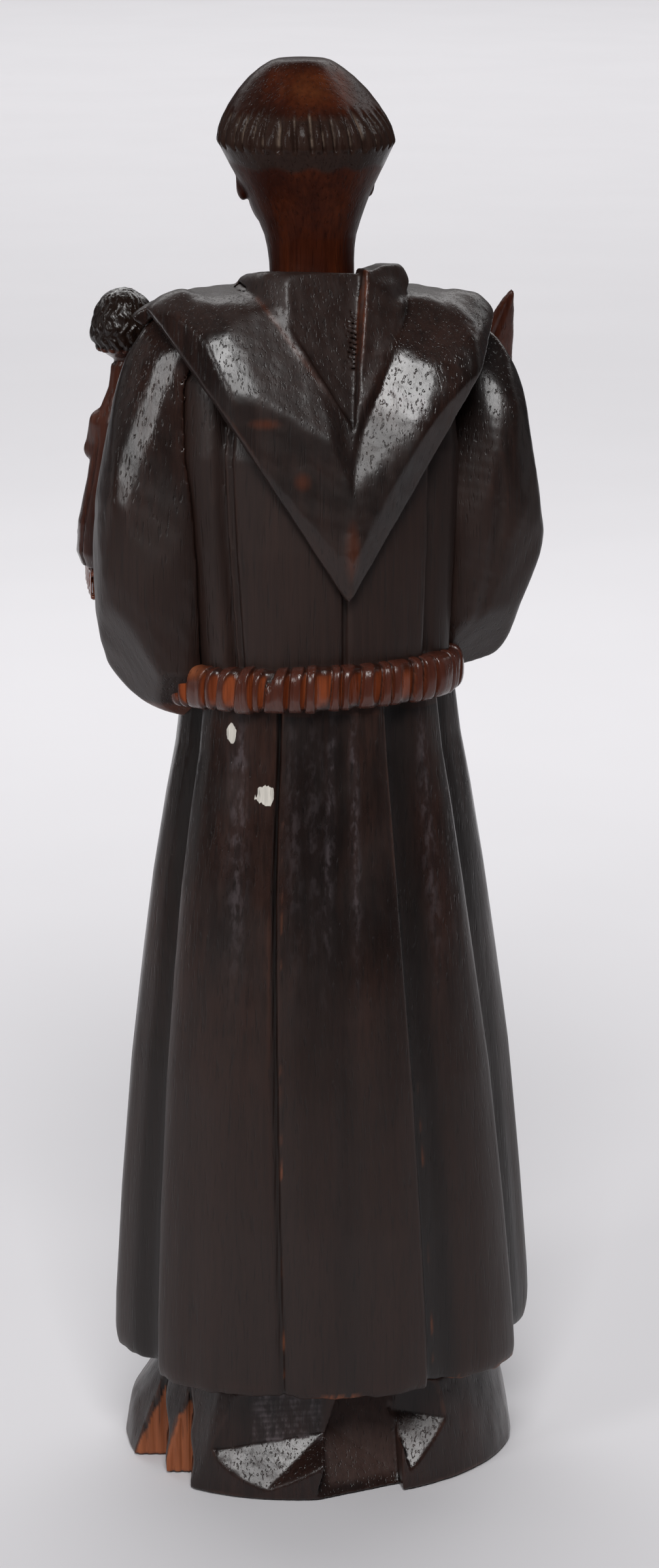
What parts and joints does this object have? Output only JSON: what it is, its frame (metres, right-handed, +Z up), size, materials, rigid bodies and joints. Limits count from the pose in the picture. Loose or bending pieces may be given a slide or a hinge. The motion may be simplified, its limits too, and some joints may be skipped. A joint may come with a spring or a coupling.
{
  "type": "carved wooden friar statue",
  "caption": "Carved dark-stained wooden friar in a hooded habit with a rope belt, standing on a rock plinth and holding a seated child and a lily.",
  "frame": {"origin": "middle of the plinth's flat underside, on the floor, under the figure's axis", "axes": "+Z up, the figure faces -Y, its left hand is on +X"},
  "size_m": [0.1261, 0.116, 0.4],
  "materials": {
    "dark_wood": "dark stain under worn gloss varnish",
    "flesh_wood": "red-brown stain under worn gloss varnish",
    "cord_wood": "light brown stain under varnish",
    "raw_wood": "bare"
  },
  "bodies": {
    "friar": {"base_plinth": "dark_wood", "habit_skirt": "dark_wood", "habit_torso": "dark_wood", "hood_cape": "dark_wood", "left_sleeve": "dark_wood", "right_sleeve": "dark_wood", "cord_belt": "cord_wood", "cord_tail": "cord_wood", "head": "flesh_wood", "left_hand": "flesh_wood", "right_hand": "flesh_wood", "book": "cord_wood", "left_foot": "flesh_wood", "right_foot": "flesh_wood", "waist_dowel": "raw_wood", "base_dowel_left": "raw_wood", "base_dowel_right": "raw_wood", "left_shoulder_dowel": "raw_wood", "right_shoulder_dowel": "raw_wood", "book_dowel": "raw_wood", "child_peg": "raw_wood"},
    "child": {"child_figure": "flesh_wood"},
    "lily": {"lily_stem": "cord_wood"}
  },
  "joints": [
    {"name": "child_lift", "type": "slide", "parent": "friar", "child": "child", "axis": [0, 0, 1], "range_m": [0, 0.03]},
    {"name": "lily_pull", "type": "slide", "parent": "friar", "child": "lily", "axis": [-0.3035, 0.2888, 0.908], "range_m": [0, 0.055]}
  ]
}
